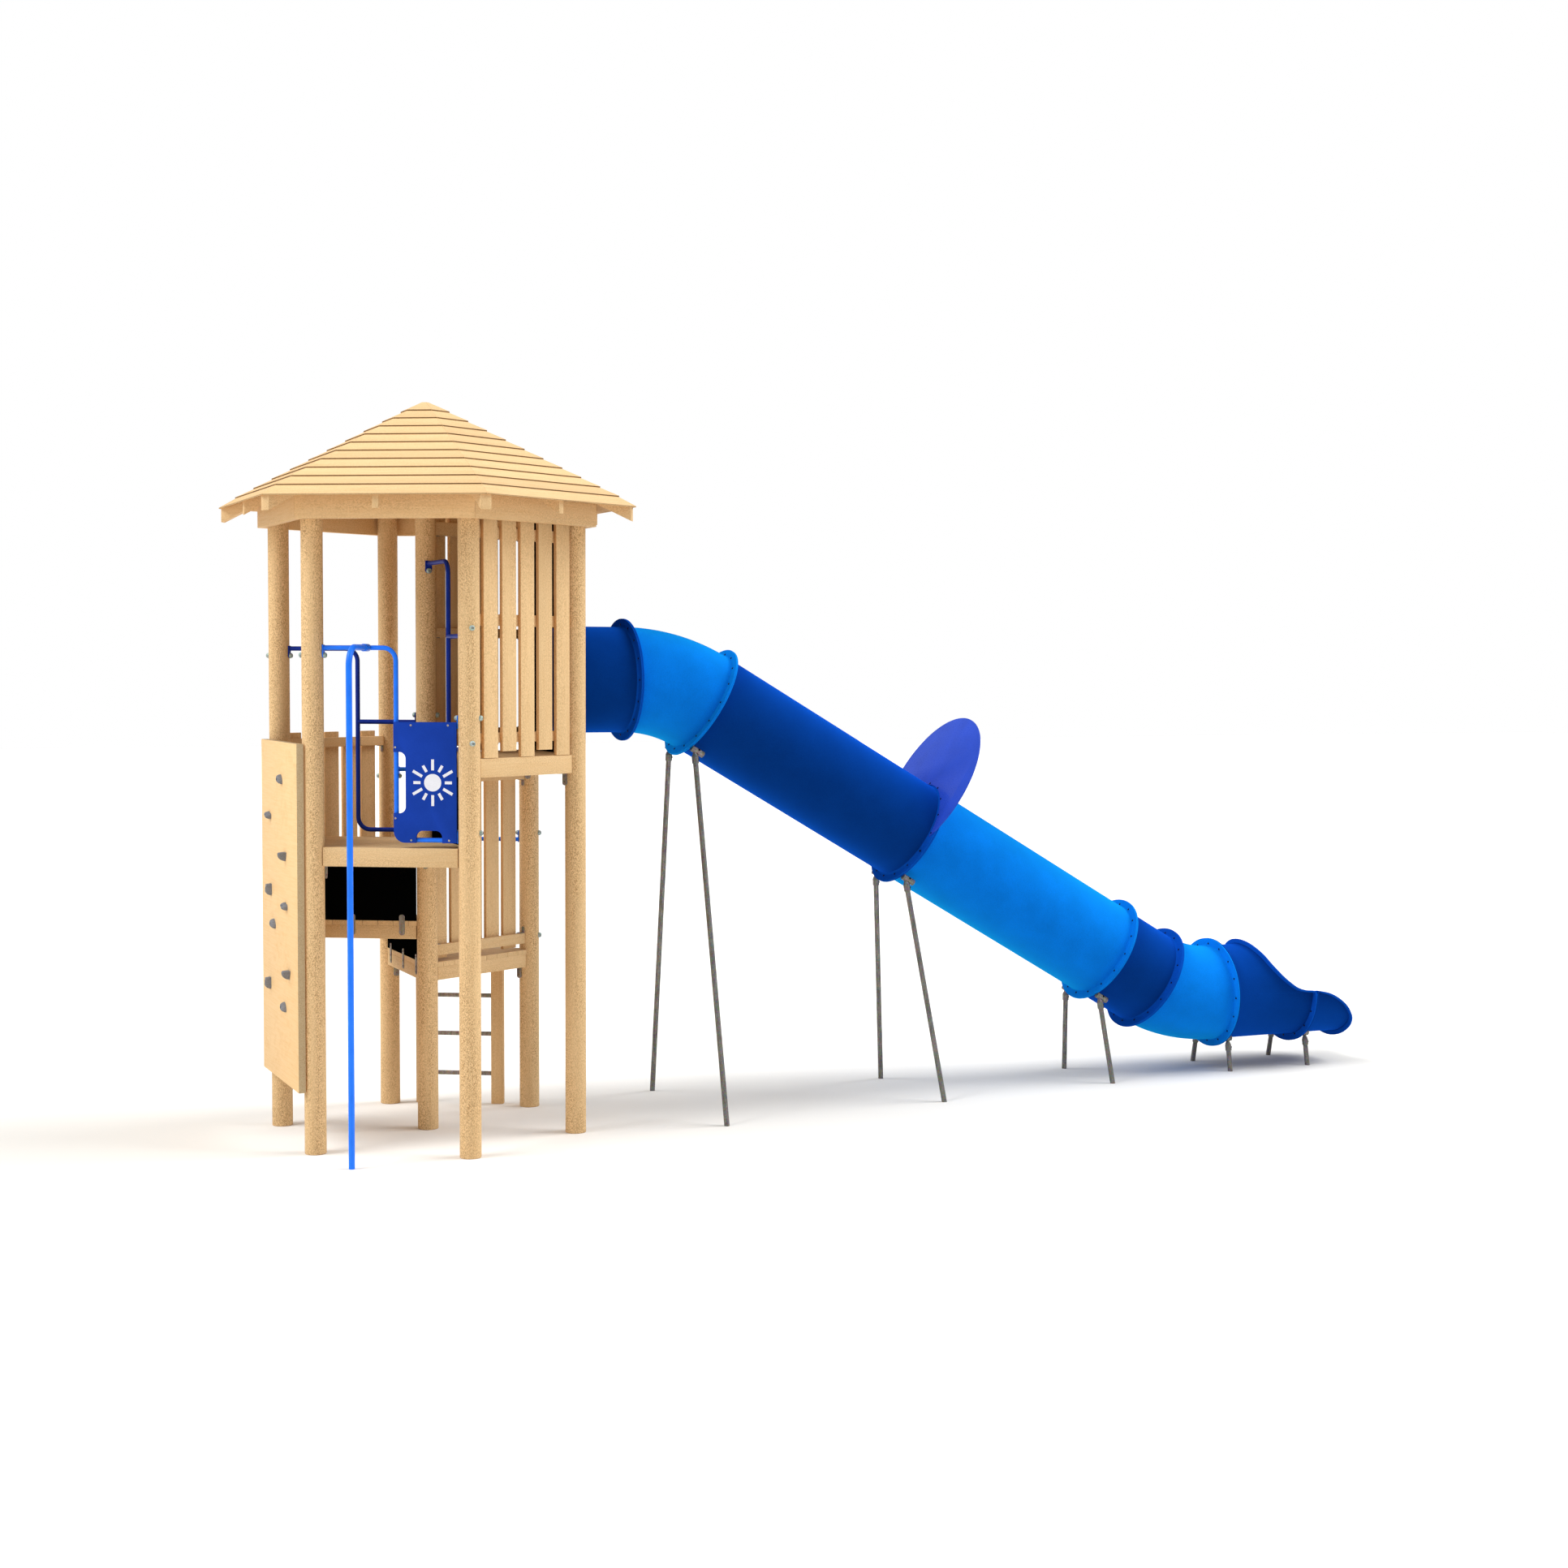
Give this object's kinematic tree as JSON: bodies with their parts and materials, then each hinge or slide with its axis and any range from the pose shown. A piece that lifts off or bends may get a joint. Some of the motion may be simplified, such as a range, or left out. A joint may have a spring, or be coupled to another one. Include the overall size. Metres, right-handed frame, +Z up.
{
  "type": "playground tower with tube slide",
  "caption": "Hexagonal wooden playground tower with rising decks, lapped board roof, climbing wall, ladder, sliding pole and a blue tube slide on steel legs.",
  "frame": {"origin": "centre of the centre post's foot, on the ground", "axes": "+X out along the slide, +Z up, +Y to the ladder side"},
  "size_m": [9.4189, 3.092, 5.2927],
  "materials": {
    "pine": "planed pine, fine speckled grain, matt",
    "pine_light": "pale planed pine boards, matt",
    "black_panel": "black plastic sheet",
    "slide_dark_blue": "dark blue moulded plastic, satin",
    "slide_light_blue": "light blue moulded plastic, satin",
    "guard_blue_paint": "blue powder coat on steel tube",
    "plate_blue": "blue plastic sheet",
    "shield_blue": "violet blue plastic sheet",
    "galvanised_steel": "dull galvanised steel"
  },
  "bodies": {
    "root": {"climbing_wall": "pine_light", "deck_1": "pine", "deck_2": "pine", "deck_3": "pine", "deck_4": "pine", "guard_ladder": "guard_blue_paint", "guard_plate": "plate_blue", "guard_pole": "guard_blue_paint", "guard_step": "guard_blue_paint", "guard_upper": "guard_blue_paint", "ladder": "pine_light", "leg_1_back": "galvanised_steel", "leg_1_front": "galvanised_steel", "leg_2_back": "galvanised_steel", "leg_2_front": "galvanised_steel", "leg_3_back": "galvanised_steel", "leg_3_front": "galvanised_steel", "leg_4_back": "galvanised_steel", "leg_4_front": "galvanised_steel", "leg_5_back": "galvanised_steel", "leg_5_front": "galvanised_steel", "post_back": "pine", "post_centre": "pine", "post_front": "pine", "post_outer_back": "pine", "post_outer_front": "pine", "post_slide_back": "pine", "post_slide_front": "pine", "rafters": "pine_light", "ring_beam": "pine", "riser_1_to_2": "black_panel", "riser_2_to_3": "black_panel", "riser_3_to_4": "black_panel", "roof": "pine_light", "slat_fence_back": "pine", "slat_partition_lower": "pine", "slat_partition_upper": "pine", "slat_wall_front": "pine", "slide_bottom_bend": "slide_light_blue", "slide_entry": "slide_dark_blue", "slide_entry_panel": "black_panel", "slide_exit": "slide_dark_blue", "slide_lip": "slide_dark_blue", "slide_shield": "shield_blue", "slide_short": "slide_dark_blue", "slide_straight_lower": "slide_light_blue", "slide_straight_upper": "slide_dark_blue", "slide_top_bend": "slide_light_blue", "sliding_pole": "guard_blue_paint"}
  },
  "joints": []
}
